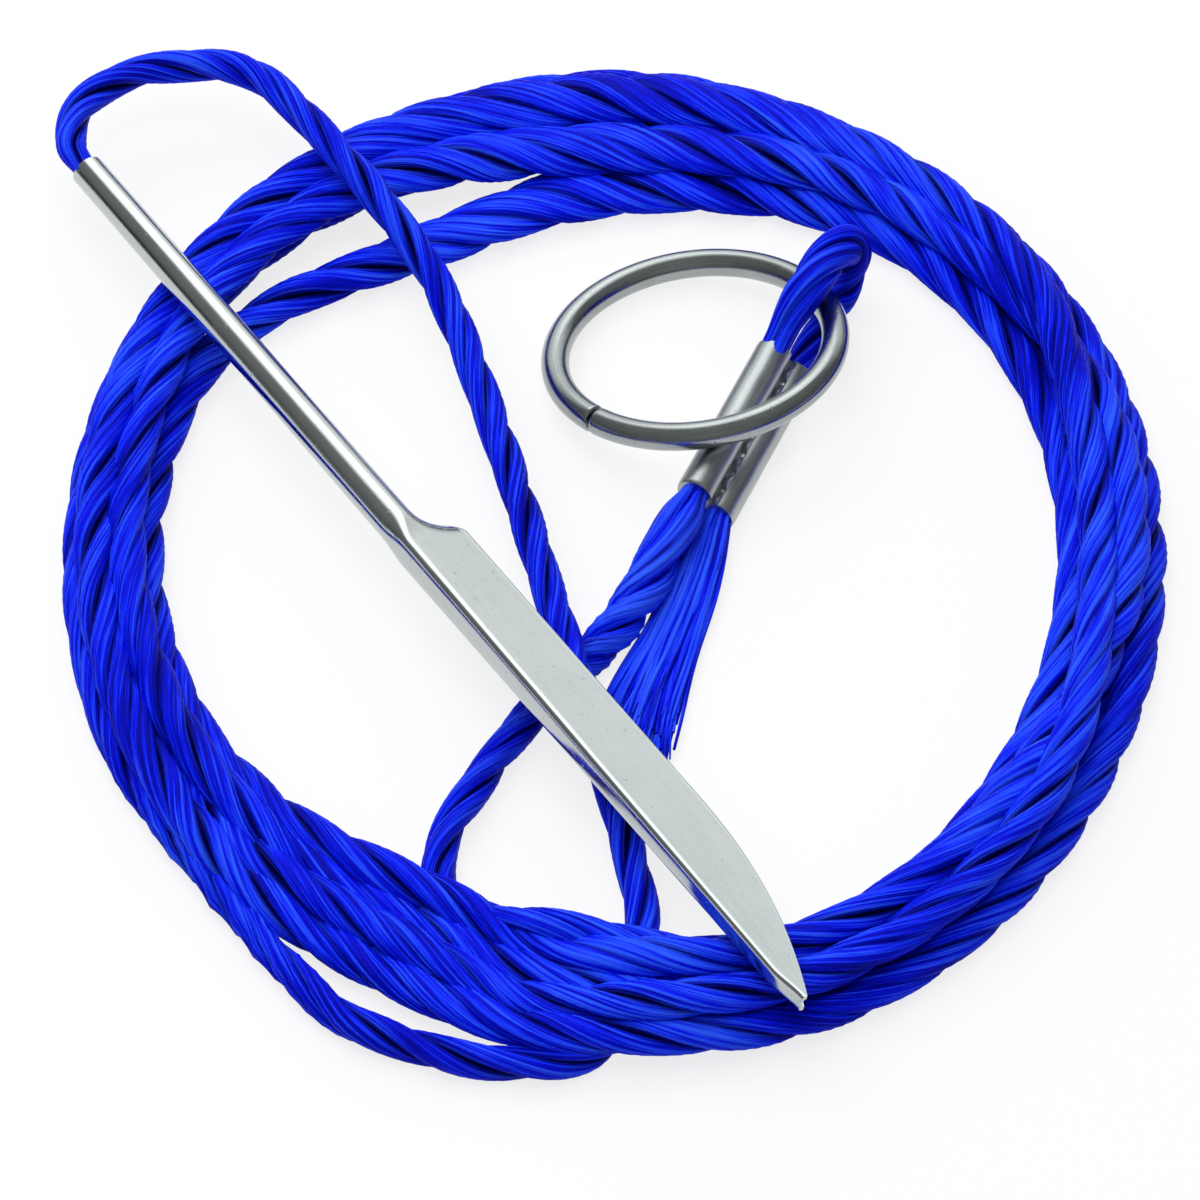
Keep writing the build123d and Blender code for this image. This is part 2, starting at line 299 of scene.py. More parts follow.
# Vectors divided by their lengths
def unit(vectors):
    vectors = np.asarray(vectors, float)
    return vectors / np.linalg.norm(vectors, axis=-1, keepdims=True)


# Two coordinates side by side, each stretched to the shape of the other
def paired(first, second):
    return np.stack(np.broadcast_arrays(first, second), -1)


# A bell round a bearing in degrees: 1 at its middle and about a third at its spread
def bump(bearing, middle, spread):
    return np.exp(-(((bearing - middle + 180) % 360 - 180) / spread) ** 2)


# From 0 to 1 with no corner at either end
def eased(x):
    x = np.clip(x, 0, 1)
    return x * x * (3 - 2 * x)


# From 0 at the start to 1 a span later, and from 1 a span before the end to 0 at it
def rising(x, start, span):
    return eased((x - start) / span)


def falling(x, end, span):
    return eased((end - x) / span)


# Points along the smooth line of a route, read from its NURBS spline
def splinePath(name, route, perSpan):
    data = bpy.data.curves.new(name, "CURVE")
    data.dimensions = "3D"
    data.resolution_u = perSpan
    spline = data.splines.new("NURBS")
    spline.points.add(len(route) - 1)
    spline.points.foreach_set("co", np.c_[route, np.ones(len(route))].ravel())
    spline.order_u = 3
    spline.use_endpoint_u = True
    holder = bpy.data.objects.new(name, data)
    read = bpy.data.meshes.new_from_object(holder)
    path = np.empty((len(read.vertices), 3), np.float32)
    read.vertices.foreach_get("co", path.ravel())
    bpy.data.meshes.remove(read)
    bpy.data.objects.remove(holder)
    bpy.data.curves.remove(data)
    return path.astype(float)


# Distance of each point from the start: the steps between points, added up
def lengthAlong(path):
    steps = np.linalg.norm(np.diff(path, axis=0), axis=1)
    return np.concatenate([[0.0], np.cumsum(steps)])


# Two directions across a path: each is the one before, squared to the path's new direction
def carriedFrame(path):
    tangent = unit(np.gradient(path, axis=0))
    side = np.empty_like(path)
    side[0] = unit(np.cross((0.0, 0.0, 1.0), tangent[0]))
    for i in range(1, len(path)):
        side[i] = unit(side[i - 1] - tangent[i] * (side[i - 1] @ tangent[i]))
    return side, np.cross(tangent, side)


# Rope: three strands wound right-handed round the path, each an oval that swells and wanders a little.
# A wander or a swell is a size, a rate along the rope and a shift from strand to strand.
rope = {
    "diameter": 3.2 * mm,
    "strands": 3,
    "lay": 21.6 * mm,
    "straightStart": 32 * mm,
    "offset": 0.84 * mm,
    "deep": 0.76 * mm,
    "wide": 0.98 * mm,
    "sides": 14,
    "slackFlattens": 0.35,
    "wanders": ((0.16, 131, 2.1), (0.10, 317, 1.0)),
    "swells": ((0.05, 211, 1.7), (0.035, 467, 1.0)),
    "streakTwist": 18.0,
    "streakShift": (0.37, 0.11),
}
tableClear = 0.02 * mm


# Sines along a line, each shifted from one strand or turn to the next, added up
def waves(terms, along, strand):
    return sum(size * np.sin(along * rate + strand * shift) for size, rate, shift in terms)


# Slack rope is wider and lower: its strands wind round an oval in place of a circle
def ropeStrands(path, along, girth, frameAcross, slack):
    side, up = frameAcross
    flatSide = side * (1 + slack)[:, None]
    flatUp = up * (1 - rope["slackFlattens"] * slack)[:, None]
    around = np.pi + np.arange(rope["sides"]) * 2 * np.pi / rope["sides"]
    wound = along * eased(along / rope["straightStart"])
    grids = []
    for strand in range(rope["strands"]):
        turn = 2 * np.pi * (wound / rope["lay"] + strand / rope["strands"])
        turn = (turn + waves(rope["wanders"], along, strand))[:, None]
        out = np.cos(turn) * flatSide + np.sin(turn) * flatUp
        across = np.cos(turn) * flatUp - np.sin(turn) * flatSide
        swell = girth * (1 + waves(rope["swells"], along, strand))
        deep = np.cos(around) * (rope["deep"] * swell)[:, None]
        wide = np.sin(around) * (rope["wide"] * swell)[:, None]
        centre = path + out * (rope["offset"] * girth)[:, None]
        oval = deep[..., None] * out[:, None, :] + wide[..., None] * across[:, None, :]
        grids.append(centre[:, None, :] + oval)
    return grids


# The strands as one mesh, kept above the table; opened strands are marked past 1 for their paler finish
def ropePiece(name, path, along, girth, frameAcross, slack, opened):
    points, faces, uvs = [], [], []
    for strand, grid in enumerate(ropeStrands(path, along, girth, frameAcross, slack)):
        rows, columns = grid.shape[:2]
        made, uv = tubeGrid(rows, columns, along, strand * rows * columns, rope["streakTwist"])
        grid[..., 2] = np.maximum(grid[..., 2], tableClear)
        points.append(grid.reshape(-1, 3))
        faces.append(made)
        uvs.append(uv + np.array(rope["streakShift"]) * strand)
    around = np.pi + np.arange(rope["sides"]) * 2 * np.pi / rope["sides"]
    facing = 0.5 + 0.5 * np.cos(around)
    outward = np.tile((facing * (1 + opened)[:, None]).ravel(), rope["strands"])
    points, faces, uvs = (np.concatenate(part) for part in (points, faces, uvs))
    return meshPiece(name, points, faces, uvs, ropeBlue, outward=outward)


# Places shared with the CAD, in millimetres
ferruleWay = np.array([-0.39875, -0.91706, 0.0])
lobeWay = np.array([0.64846, -0.28196, -0.70711])
ferruleLength = 19.0
lobeStep = 3.0
upperTop = np.array([14.6, 22.0, 3.871])
lowerTop = upperTop + lobeWay * lobeStep
upperBottom = upperTop + ferruleWay * ferruleLength
lowerBottom = lowerTop + ferruleWay * ferruleLength
hingePoint = np.array([-26.5, 43.6, 8.68])
hingeWay = np.array([0.57643, -0.81714, 0.0])
needleMouth = np.array([-49.3, 40.5, 8.63])
needleWay = np.array([0.56281, -0.82659, 0.0])

# Coil: five turns in a pile three wide and two high, in millimetres and degrees of bearing.
# A turn's place is its number, 0 for the inmost, and it moves out by one place on the near left.
coil = {
    "halfWidth": 45.0,
    "halfLength": 52.4,
    "start": -100.0,
    "turnPoints": 36,
    "turns": 4.86,
    "low": 1.55,
    "high": 4.75,
    "touch": 2.95,
    "middlePlace": 2,
    "shiftFrom": 190,
    "shiftSpan": 66,
    "outWaves": ((0.7, 2.7, math.radians(100)),),
    "upWaves": ((0.35, 2.3, math.radians(75)),),
}
pile = {
    "step": 3.3,
    "left": 180,
    "leftSpread": 40,
    "leftTighter": 0.6,
    "corner": 225,
    "cornerSpread": 25,
    "cornerWider": 0.3,
}
farFan = {"bearing": 93, "spread": 24, "step": 3.6, "inwards": 0.1, "flatter": 0.6}
nearSpill = {"bearing": 251, "spread": 23, "share": 0.85, "step": 3.5, "inwards": 6.6, "flatter": 0.5}
rightSwap = {"from": -34, "to": 42, "ease": 28, "places": 2.0, "outwards": 1, "inwards": 3, "hump": 2.3}
looseTurn = {"from": 96, "ease": 20, "to": 151, "easeOut": 24, "inwards": 11.0, "lift": 0.4}
farLeftBulge = {"bearing": 136, "spread": 24, "reach": 1.9}
leadHump = {"bearing": -87, "spread": 13, "lift": 1.5}
settling = {"rounds": 160, "push": 0.21, "smooth": 0.07, "recall": 0.10, "sink": 0.02}


# Where each turn would lie: outwards from the coil's oval, and up from the table
def turnPlaces(angle):
    turned = (angle - coil["start"]) / 360
    whole = np.floor(turned + 1e-9)
    local = (angle + 90) % 360 - 90
    place = whole + rising(local, coil["shiftFrom"], coil["shiftSpan"])
    fan = bump(angle, farFan["bearing"], farFan["spread"])
    spill = nearSpill["share"] * bump(angle, nearSpill["bearing"], nearSpill["spread"])
    step = pile["step"] - pile["leftTighter"] * bump(angle, pile["left"], pile["leftSpread"])
    step = step + pile["cornerWider"] * bump(angle, pile["corner"], pile["cornerSpread"])
    swap = rising(local, rightSwap["from"], rightSwap["ease"])
    swap = swap * falling(local, rightSwap["to"], rightSwap["ease"])
    goesOut = (whole == rightSwap["outwards"]) * 1.0
    goesIn = (whole == rightSwap["inwards"]) * 1.0
    moved = place + swap * rightSwap["places"] * (goesOut - goesIn) - coil["middlePlace"]
    out = moved * step / 2 * (1 - fan) + (moved * farFan["step"] - farFan["inwards"]) * fan
    spilled = (place - coil["middlePlace"]) * nearSpill["step"] - nearSpill["inwards"]
    out = out * (1 - spill) + spilled * spill
    rise = (1 - np.cos(np.pi * place)) / 2 * (1 - farFan["flatter"] * fan - nearSpill["flatter"] * spill)
    up = coil["low"] + (coil["high"] - coil["low"]) * rise
    up = up + rightSwap["hump"] * goesIn * 4 * swap * (1 - swap)
    loose = rising(local, looseTurn["from"], looseTurn["ease"])
    loose = loose * falling(local, looseTurn["to"], looseTurn["easeOut"]) * (turned < 1)
    out = out * (1 - loose) - looseTurn["inwards"] * loose
    up = up * (1 - loose) + (coil["low"] + looseTurn["lift"]) * loose
    out = out + farLeftBulge["reach"] * bump(angle, farLeftBulge["bearing"], farLeftBulge["spread"])
    out = out + waves(coil["outWaves"], np.radians(angle), whole)
    up = up + waves(coil["upWaves"], np.radians(angle), whole)
    return out, up


# Turns that overlap push each other apart, while each is smoothed and drawn back towards its place
def settledTurns(out, up):
    per, count = coil["turnPoints"], len(out)
    wantOut, wantUp = out.copy(), up.copy()
    for _ in range(settling["rounds"]):
        for gap in range(1, math.ceil(coil["turns"])):
            first = np.arange(count - gap * per)
            second = first + gap * per
            apartOut = out[second] - out[first]
            apartUp = up[second] - up[first]
            apart = np.hypot(apartOut, apartUp) + 1e-6
            push = np.clip(coil["touch"] - apart, 0, None) / apart * settling["push"]
            out[first] -= push * apartOut
            out[second] += push * apartOut
            up[first] -= push * apartUp
            up[second] += push * apartUp
        for value, want in ((out, wantOut), (up, wantUp)):
            value[1:-1] += settling["smooth"] * (value[:-2] + value[2:] - 2 * value[1:-1])
            value += settling["recall"] * (want - value)
        up = np.maximum(up - settling["sink"], coil["low"])
    return out, up


# The turns as points of the cord's route: an oval, moved along its normal and up
def coilRoute():
    count = round(coil["turnPoints"] * coil["turns"]) + 1
    angle = coil["start"] + np.arange(count) * 360 / coil["turnPoints"]
    out, up = settledTurns(*turnPlaces(angle))
    up = up + leadHump["lift"] * bump(angle, leadHump["bearing"], leadHump["spread"])
    turn = np.radians(angle)
    middle = np.c_[coil["halfWidth"] * np.cos(turn), coil["halfLength"] * np.sin(turn)]
    normal = unit(np.c_[np.cos(turn) / coil["halfWidth"], np.sin(turn) / coil["halfLength"]])
    return np.c_[middle + normal * out[:, None], up]


# The cord's route, from the ferrule to the needle: leg, coil, the loose outer strand, lead and end loop
legRoute = [
    upperBottom - ferruleWay * 4.0,
    upperBottom,
    upperBottom + ferruleWay * 5.0,
    (0.7, -9.2, 1.9),
    (-6.6, -17.4, 1.6),
    (-12.4, -27.0, 1.6),
    (-15.4, -33.2, 1.6),
    (-15.8, -38.4, 1.5),
    (-13.2, -42.4, 1.5),
]
leadRoute = [
    (-25.4, -51.6, 1.6),
    (-19.0, -54.8, 1.6),
    (-12.8, -56.9, 1.6),
    (-7.6, -57.35, 1.6),
    (-3.4, -56.8, 1.6),
    (-0.2, -54.2, 1.4),
    (1.9, -49.6, 1.4),
    (2.4, -43.0, 1.7),
    (1.8, -39.0, 2.4),
    (0.6, -33.4, 3.5),
    (-1.0, -27.2, 4.4),
    (-3.2, -18.8, 4.9),
    (-5.7, -9.4, 4.9),
    (-8.1, 0.7, 4.8),
    (-10.3, 9.0, 4.9),
    (-12.2, 15.4, 5.2),
    (-14.5, 23.0, 6.0),
    (-17.6, 30.4, 7.3),
    hingePoint + hingeWay * 5.5,
    hingePoint - hingeWay * 0.5,
    hingePoint - hingeWay * 7.0,
    (-34.2, 53.6, 8.5),
    (-39.4, 55.6, 7.5),
    (-46.0, 54.4, 7.6),
    (-50.6, 49.6, 8.4),
    needleMouth - needleWay * 3.8,
    needleMouth - needleWay * 0.8,
    needleMouth + needleWay * 4.0,
]
# Shares are of the rope's girth; a rise or a fall is where it starts or ends and its span
cordShape = {
    "perSpan": 8,
    "ferruleCrimp": 0.26,
    "ferruleRise": (3.4 * mm, 4 * mm),
    "needleCrimp": 0.30,
    "needleEnd": 4.2 * mm,
    "needleSpan": 4 * mm,
    "swell": 0.36,
    "swellRise": (3 * mm, 6 * mm),
    "swellFall": (34 * mm, 20 * mm),
    "turnsRise": (90 * mm, 20 * mm),
    "turnsEnd": 330 * mm,
    "turnsSpan": 40 * mm,
    "slack": 0.16,
    "farSlack": 0.60,
    "farBell": (93, 30),
    "nearSlack": 0.14,
    "nearBell": (-115, 30),
    "farSwell": 0.18,
    "farSwellBell": (95, 30),
    "opened": 0.8,
    "openedRise": (20 * mm, 40 * mm),
    "split": 7.0,
    "blendHalf": 6.5,
}


# Girth and slack along the cord: pinched in the crimps, swollen past the ferrule, opened up on the far side
def cordPieces():
    shape = cordShape
    route = np.concatenate([np.array(legRoute), coilRoute(), np.array(leadRoute)]) * mm
    path = splinePath("cordLine", route, shape["perSpan"])
    along = lengthAlong(path)
    total = along[-1]
    bearing = np.degrees(np.arctan2(path[:, 1], path[:, 0]))
    turns = rising(along, *shape["turnsRise"]) * falling(along, total - shape["turnsEnd"], shape["turnsSpan"])
    girth = 1 - shape["ferruleCrimp"] * (1 - rising(along, *shape["ferruleRise"]))
    crimped = 1 - falling(along, total - shape["needleEnd"], shape["needleSpan"])
    girth = girth - shape["needleCrimp"] * crimped
    girth = girth + shape["swell"] * rising(along, *shape["swellRise"]) * falling(along, *shape["swellFall"])
    girth = girth + shape["farSwell"] * turns * bump(bearing, *shape["farSwellBell"])
    slack = shape["slack"] + shape["farSlack"] * bump(bearing, *shape["farBell"])
    slack = turns * (slack + shape["nearSlack"] * bump(bearing, *shape["nearBell"]))
    opened = shape["opened"] * (1 - rising(along, *shape["openedRise"]))
    tangent = unit(np.gradient(path, axis=0))
    side = unit(np.cross((0.0, 0.0, 1.0), tangent))
    up = np.cross(tangent, side)
    splitPoint = (hingePoint + hingeWay * shape["split"]) * mm
    split = int(np.argmin(np.linalg.norm(path - splitPoint, axis=1)))
    made = []
    for name, part in (("cordMain", slice(0, split + 1)), ("cordLoop", slice(split, None))):
        across = (side[part], up[part])
        piece = ropePiece(name, path[part], along[part], girth[part], across, slack[part], opened[part])
        made.append((piece, path[part]))
    print("cord lengths", round(along[split], 4), round(total - along[split], 4))
    return made


(mainPiece, mainPath), (loopPiece, loopPath) = cordPieces()
print("stage: main cord made")

# Eye: the cord leaves the upper lobe, passes over and under the ring's wire and enters the lower lobe
eyeRoute = [
    upperTop + ferruleWay * 6.0,
    upperTop + ferruleWay * 1.0,
    (15.7, 23.7, 5.6),
    (17.3, 25.7, 8.2),
    (19.4, 28.9, 9.0),
    (21.3, 31.7, 8.5),
    (22.2, 33.0, 5.0),
    (21.4, 31.6, 1.8),
    (19.2, 27.6, 1.6),
    lowerTop - ferruleWay * 1.5,
    lowerTop + ferruleWay * 6.0,
]
eyeShape = {
    "perSpan": 14,
    "girth": 0.94,
    "crimp": 0.08,
    "crimpRise": (4.5 * mm, 5 * mm),
    "swell": 0.30,
    "swellRise": (7 * mm, 5 * mm),
    "swellFall": (25 * mm, 5 * mm),
}


# Girth along the eye: pinched at both ends and swollen over the bend
def eyePiece():
    shape = eyeShape
    path = splinePath("eyeLine", np.array(eyeRoute) * mm, shape["perSpan"])
    along = lengthAlong(path)
    ends = np.minimum(along, along[-1] - along)
    girth = shape["girth"] - shape["crimp"] * (1 - rising(ends, *shape["crimpRise"]))
    girth = girth + shape["swell"] * rising(along, *shape["swellRise"]) * falling(along, *shape["swellFall"])
    none = np.zeros(len(path))
    return ropePiece("cordEye", path, along, girth, carriedFrame(path), slack=none, opened=none)


eye = eyePiece()

# Tail: a fan of loose filaments from the lower lobe, flat on the table, in tufts that part at their ends
tail = {
    "count": 170,
    "tufts": 5,
    "tuftStep": 0.36,
    "tuftScatter": 0.15,
    "widest": 1.05,
    "rows": 18,
    "sides": 5,
    "perSpan": 8,
    "lengths": (0.80, 1.0),
    "startHalf": 1.0 * mm,
    "endHalf": 3.0 * mm,
    "openLate": 0.1,
    "flare": 0.22,
    "startDepth": 1.0 * mm,
    "endDepth": 0.6 * mm,
    "flattens": 1.6,
    "oval": 0.9,
    "part": 0.30 * mm,
    "wanders": ((0.16 * mm, 420, 1.0), (0.25 * mm, 160, 2.1)),
    "thick": 0.23 * mm,
    "thickSpan": (0.7, 1.2),
    "taper": 0.55,
    "streakScale": (0.08, 1),
    "streakSpan": (0, 3),
    "tones": (0.50, 1.75),
}
tailRoute = [
    lowerBottom - ferruleWay * 3.0,
    lowerBottom,
    (7.7, -1.4, 1.5),
    (6.3, -6.0, 1.15),
    (4.6, -10.8, 0.95),
    (3.0, -15.6, 0.9),
    (1.7, -20.4, 0.85),
    (0.8, -24.0, 0.8),
]


# The rows of a list of vectors along a path, read off at other places on it
def readAt(place, along, vectors):
    return np.stack([np.interp(place, along, vectors[:, axis]) for axis in range(3)], -1)


# Each filament is a thin tube beside the tail's line, further out the further along it is
def tailPiece():
    line = splinePath("tailLine", np.array(tailRoute) * mm, tail["perSpan"])
    along = lengthAlong(line)
    side, up = carriedFrame(line)
    points, faces, uvs = [], [], []
    rows, sides = tail["rows"], tail["sides"]
    around = (np.arange(sides) * 2 * np.pi / sides)[None, :, None]
    for i in range(tail["count"]):
        tuft = random.integers(0, tail["tufts"]) - (tail["tufts"] - 1) / 2
        spot = tail["tuftStep"] * tuft + random.normal(0, tail["tuftScatter"])
        spot = np.clip(spot, -tail["widest"], tail["widest"])
        layer = random.uniform(-1, 1)
        place = np.linspace(0, along[-1] * random.uniform(*tail["lengths"]), rows)
        share = place / along[-1]
        opening = np.sqrt(np.clip(share * (1 + tail["openLate"]) - tail["openLate"], 0, 1))
        spread = tail["startHalf"] + (tail["endHalf"] - tail["startHalf"]) * opening
        spread = spread * (1 + tail["flare"] * share**3)
        depth = tail["startDepth"] + (tail["endDepth"] - tail["startDepth"]) * eased(share * tail["flattens"])
        depth = depth * np.sqrt(1 - tail["oval"] * spot**2)
        wander = tail["part"] * tuft * share**4 + waves(tail["wanders"], place, i) * share
        centre, level, above = (readAt(place, along, vectors) for vectors in (line, side, up))
        centre = centre + level * (spot * spread + wander)[:, None] + above * (layer * depth)[:, None]
        thick = tail["thick"] * random.uniform(*tail["thickSpan"]) * (1 - tail["taper"] * share**3)
        centre[:, 2] = np.maximum(centre[:, 2], thick)
        circle = np.cos(around) * level[:, None, :] + np.sin(around) * above[:, None, :]
        made, uv = tubeGrid(rows, sides, place, i * rows * sides)
        points.append((centre[:, None, :] + circle * thick[:, None, None]).reshape(-1, 3))
        faces.append(made)
        start = (random.uniform(*tail["streakSpan"]), random.uniform(*tail["streakSpan"]))
        uvs.append(uv * tail["streakScale"] + start)
    outward = np.repeat(random.uniform(*tail["tones"], tail["count"]), rows * sides)
    points, faces, uvs = (np.concatenate(part) for part in (points, faces, uvs))
    return meshPiece("cordTail", points, faces, uvs, ropeBlue, outward=outward)


frayed = tailPiece()
print("stage: eye and tail made")

# Needle: a strip rolled into a shank and folded into a blade, in its own frame from mouth to tip.
# The stations are runs of sections along it: from, to and how many. Marks are places round a section.
needle = {
    "length": 116.5,
    "shank": 52.0,
    "shoulder": 5.0,
    "shoulderStart": 0.6,
    "shoulderShare": 0.76,
    "sheet": 0.4,
    "mouthRadius": 1.6,
    "shoulderRadius": 1.75,
    "bladeWidth": 6.9,
    "bladeThick": 3.0,
    "tipThick": 1.7,
    "tipInset": 1.1,
    "tipLength": 4.0,
    "tipRise": 0.55,
    "slit": 0.25,
    "belly": 23.5,
    "roll": 14.0,
    "foldPower": 0.55,
    "spineDepth": 0.62,
    "edgeLand": 0.93,
    "edgeRound": 0.03,
    "edgeDrop": 0.10,
    "seamLength": 24.0,
    "seamAngle": 150.0,
    "seamHalf": 5.8,
    "seamDepth": 0.85,
    "seamMarks": np.array([-6.2, -5.4, 5.4, 6.2]),
    "leafMarks": np.array([0.012, 0.02, 0.035, 0.05, 0.07, 0.1, 0.2, 0.32, 0.45, 0.58, 0.7, 0.8, 0.88, 0.95]),
    "foldPoints": 45,
    "stations": (
        (0, 23.6, 20),
        (23.95, 24.05, 2),
        (25, 49, 16),
        (50, 61, 34),
        (62.5, 92, 20),
        (93, 116.5, 40),
    ),
    "capCorners": np.array([[0.0, 0.0], [0.01, 0.0], [0.01, 0.01], [0.0, 0.01]]),
    "sharp": 40,
}


# Section at x: a circle on the shank and, on the blade, two flat leaves from a rounded fold to the edge.
# The edge is straight and then a circle's arc to the tip. The inset moves the section in by the sheet.
def needleSection(x, inset, angle):
    spineY = -needle["shoulderRadius"]
    fullEdge = spineY + needle["bladeWidth"]
    bladeStart = needle["shank"] + needle["shoulder"]
    share = np.clip((x - bladeStart) / (needle["length"] - bladeStart), 0, 1)
    widening = needle["shoulderRadius"] - needle["mouthRadius"]
    tubeRadius = needle["mouthRadius"] + widening * np.minimum(x / needle["shank"], 1) - inset
    tube = paired(tubeRadius * np.cos(angle), tubeRadius * np.sin(angle))
    spineRadius = (needle["bladeThick"] + (needle["tipThick"] - needle["bladeThick"]) * share) / 2
    point = rising(x, needle["length"] - needle["tipLength"], needle["tipLength"])
    centre = spineY + needle["spineDepth"] * spineRadius + needle["tipRise"] * point
    radius = spineRadius - inset
    flatHalf = needle["slit"] / 2 + needle["sheet"] - inset
    back = np.maximum(0.0, x - needle["length"] + needle["belly"])
    drawnIn = fullEdge - (spineY + needle["tipInset"])
    bend = (needle["belly"] ** 2 + drawnIn**2) / (2 * drawnIn)
    edge = fullEdge - (bend - np.sqrt(bend**2 - back**2))
    top = np.where(angle < np.pi, angle, 2 * np.pi - angle)
    leaf = np.clip(1 - top / (np.pi / 2), 0, 1)
    power = needle["foldPower"]
    foldY = centre - needle["spineDepth"] * radius * np.abs(np.cos(angle)) ** power
    foldZ = radius * np.sign(np.sin(angle)) * np.abs(np.sin(angle)) ** power
    y = np.where(leaf > 0, centre + (edge - centre) * leaf, foldY)
    land, drop = y, 0.0
    if inset == 0:
        land = np.minimum(y, centre + (edge - centre) * needle["edgeLand"])
        drop = needle["edgeDrop"] * np.clip((leaf - 1) / needle["edgeRound"] + 1, 0, 1) ** 2
    slope = radius + (flatHalf - radius) * (land - centre) / (fullEdge - centre)
    z = np.where(leaf > 0, np.where(angle > np.pi, -slope, slope), foldZ)
    folded = paired(y, z - np.sign(z) * drop)
    mix = rising(x, needle["shank"] + needle["shoulderStart"], needle["shoulderShare"] * needle["shoulder"])
    return tube * (1 - mix[..., None]) + folded * mix[..., None]


# The outer and inner sections joined into one loop, so that the sheet has its thickness.
# Both ends are closed between the two by a rim of quads that faces away from the needle.
def needlePiece():
    roll = math.radians(needle["roll"])
    level = np.array([-needleWay[1], needleWay[0], 0.0])
    across = level * math.cos(roll) - np.array([0, 0, math.sin(roll)])
    above = np.array([0, 0, math.cos(roll)]) + level * math.sin(roll)
    leaf = needle["leafMarks"] * np.pi / 2
    fold = np.linspace(np.pi / 2, 3 * np.pi / 2, needle["foldPoints"])
    seam = math.radians(needle["seamAngle"])
    seamSides = seam + np.radians(needle["seamMarks"])
    angle = np.sort(np.concatenate([leaf, fold, 2 * np.pi - leaf[::-1], seamSides]))
    stations = np.concatenate([np.linspace(*run) for run in needle["stations"]])
    x = stations[:, None]
    slot = (np.abs(angle - seam) < math.radians(needle["seamHalf"])) & (x < needle["seamLength"])
    pressed = needleSection(x, needle["seamDepth"] * needle["sheet"], angle)
    outer = np.where(slot[..., None], pressed, needleSection(x, 0.0, angle))
    inner = needleSection(x, needle["sheet"], angle)
    loop = np.concatenate([outer, inner[:, ::-1]], axis=1)
    grid = needleMouth + needleWay * x[..., None] + loop[..., :1] * across + loop[..., 1:] * above
    rows, columns = grid.shape[:2]
    faces, uvs = tubeGrid(rows, columns, stations * mm)
    outerEdge = np.arange(columns // 2 - 1)
    innerEdge = columns - 1 - outerEdge
    cap = np.stack([outerEdge, outerEdge + 1, innerEdge - 1, innerEdge], -1)
    corners = np.tile(needle["capCorners"], (len(cap), 1, 1))
    faces = np.concatenate([faces, cap[:, ::-1], cap + (rows - 1) * columns])
    uvs = np.concatenate([uvs, corners[:, ::-1].reshape(-1, 2), corners.reshape(-1, 2)])
    return meshPiece("needleBody", grid * mm, faces, uvs, needleSteel, needle["sharp"])


needleBody = needlePiece()

# Ring: round wire bent to a circle, with a small gap where its ends meet and a soft edge on each end
ring = {
    "centre": np.array([7.25, 21.9, 4.487]),
    "towards": np.array([0.90546, 0.42222, 0.04331]),
    "across": np.array([-0.40397, 0.88860, -0.21728]),
    "normal": np.array([-0.13022, 0.17924, 0.97515]),
    "radius": 13.0,
    "wire": 1.3,
    "joint": 201.0,
    "gap": 0.35,
    "endPlaces": np.array([0.0, 0.06, 0.16, 0.30]),
    "endScales": np.array([0.86, 0.95, 0.985, 1.0]),
    "endLength": 0.5,
    "arcPoints": 150,
    "sides": 28,
    "sharp": 50,
}


# A small circle carried round a large one, from one side of the gap to the other
def ringPiece():
    start = ring["gap"] / 2 + ring["endPlaces"]
    bodyStart = ring["gap"] / 2 + ring["endLength"]
    wholeTurn = 2 * np.pi * ring["radius"]
    body = np.linspace(bodyStart, wholeTurn - bodyStart, ring["arcPoints"])
    along = np.concatenate([start, body, wholeTurn - start[::-1]])
    scale = ring["endScales"]
    thick = ring["wire"] * np.concatenate([scale, np.ones(ring["arcPoints"]), scale[::-1]])
    theta = (math.radians(ring["joint"]) + along / ring["radius"])[:, None]
    outward = np.cos(theta) * ring["towards"] + np.sin(theta) * ring["across"]
    around = (np.arange(ring["sides"]) * 2 * np.pi / ring["sides"])[None, :, None]
    spin = np.cos(around) * outward[:, None, :] - np.sin(around) * ring["normal"]
    centre = ring["centre"] + outward * ring["radius"]
    grid = (centre[:, None, :] + spin * thick[:, None, None]) * mm
    faces, uvs = cappedGrid(*grid.shape[:2], along * mm)
    return meshPiece("ringWire", grid, faces, uvs, ringSteel, ring["sharp"])


ringWire = ringPiece()
print("stage: needle and ring made")

# Ferrule: a strip wrapped round both legs, its edges tucked into the groove between the lobes.
# The edge that lies on top is pressed into teeth.
ferrule = {
    "lobe": 1.75,
    "leftArc": (58, 270, 30),
    "rightArc": (270, 488, 30),
    "bottomPoints": 8,
    "edgeInset": np.array([1.25, 1.32]),
    "edgeHeight": np.array([0.80, 0.66]),
    "grooveDepth": 0.95,
    "grooveAcross": np.array([-0.02, -0.22, -0.42]),
    "grooveRise": np.array([0.02, 0.0, 0.18]),
    "toothShares": np.array([0.5, 1.0, 0.5, 0.0, 0.0]),
    "teeth": 8,
    "toothDepth": 0.24,
    "press": 0.03,
    "presses": 2.0,
    "pressShift": 0.6,
    "bottomRise": 0.05,
    "rimPlaces": np.array([0.0, 0.05, 0.14, 0.3]),
    "rimScales": np.array([0.955, 0.975, 0.99, 1.0]),
    "stations": 110,
    "sharp": 38,
}


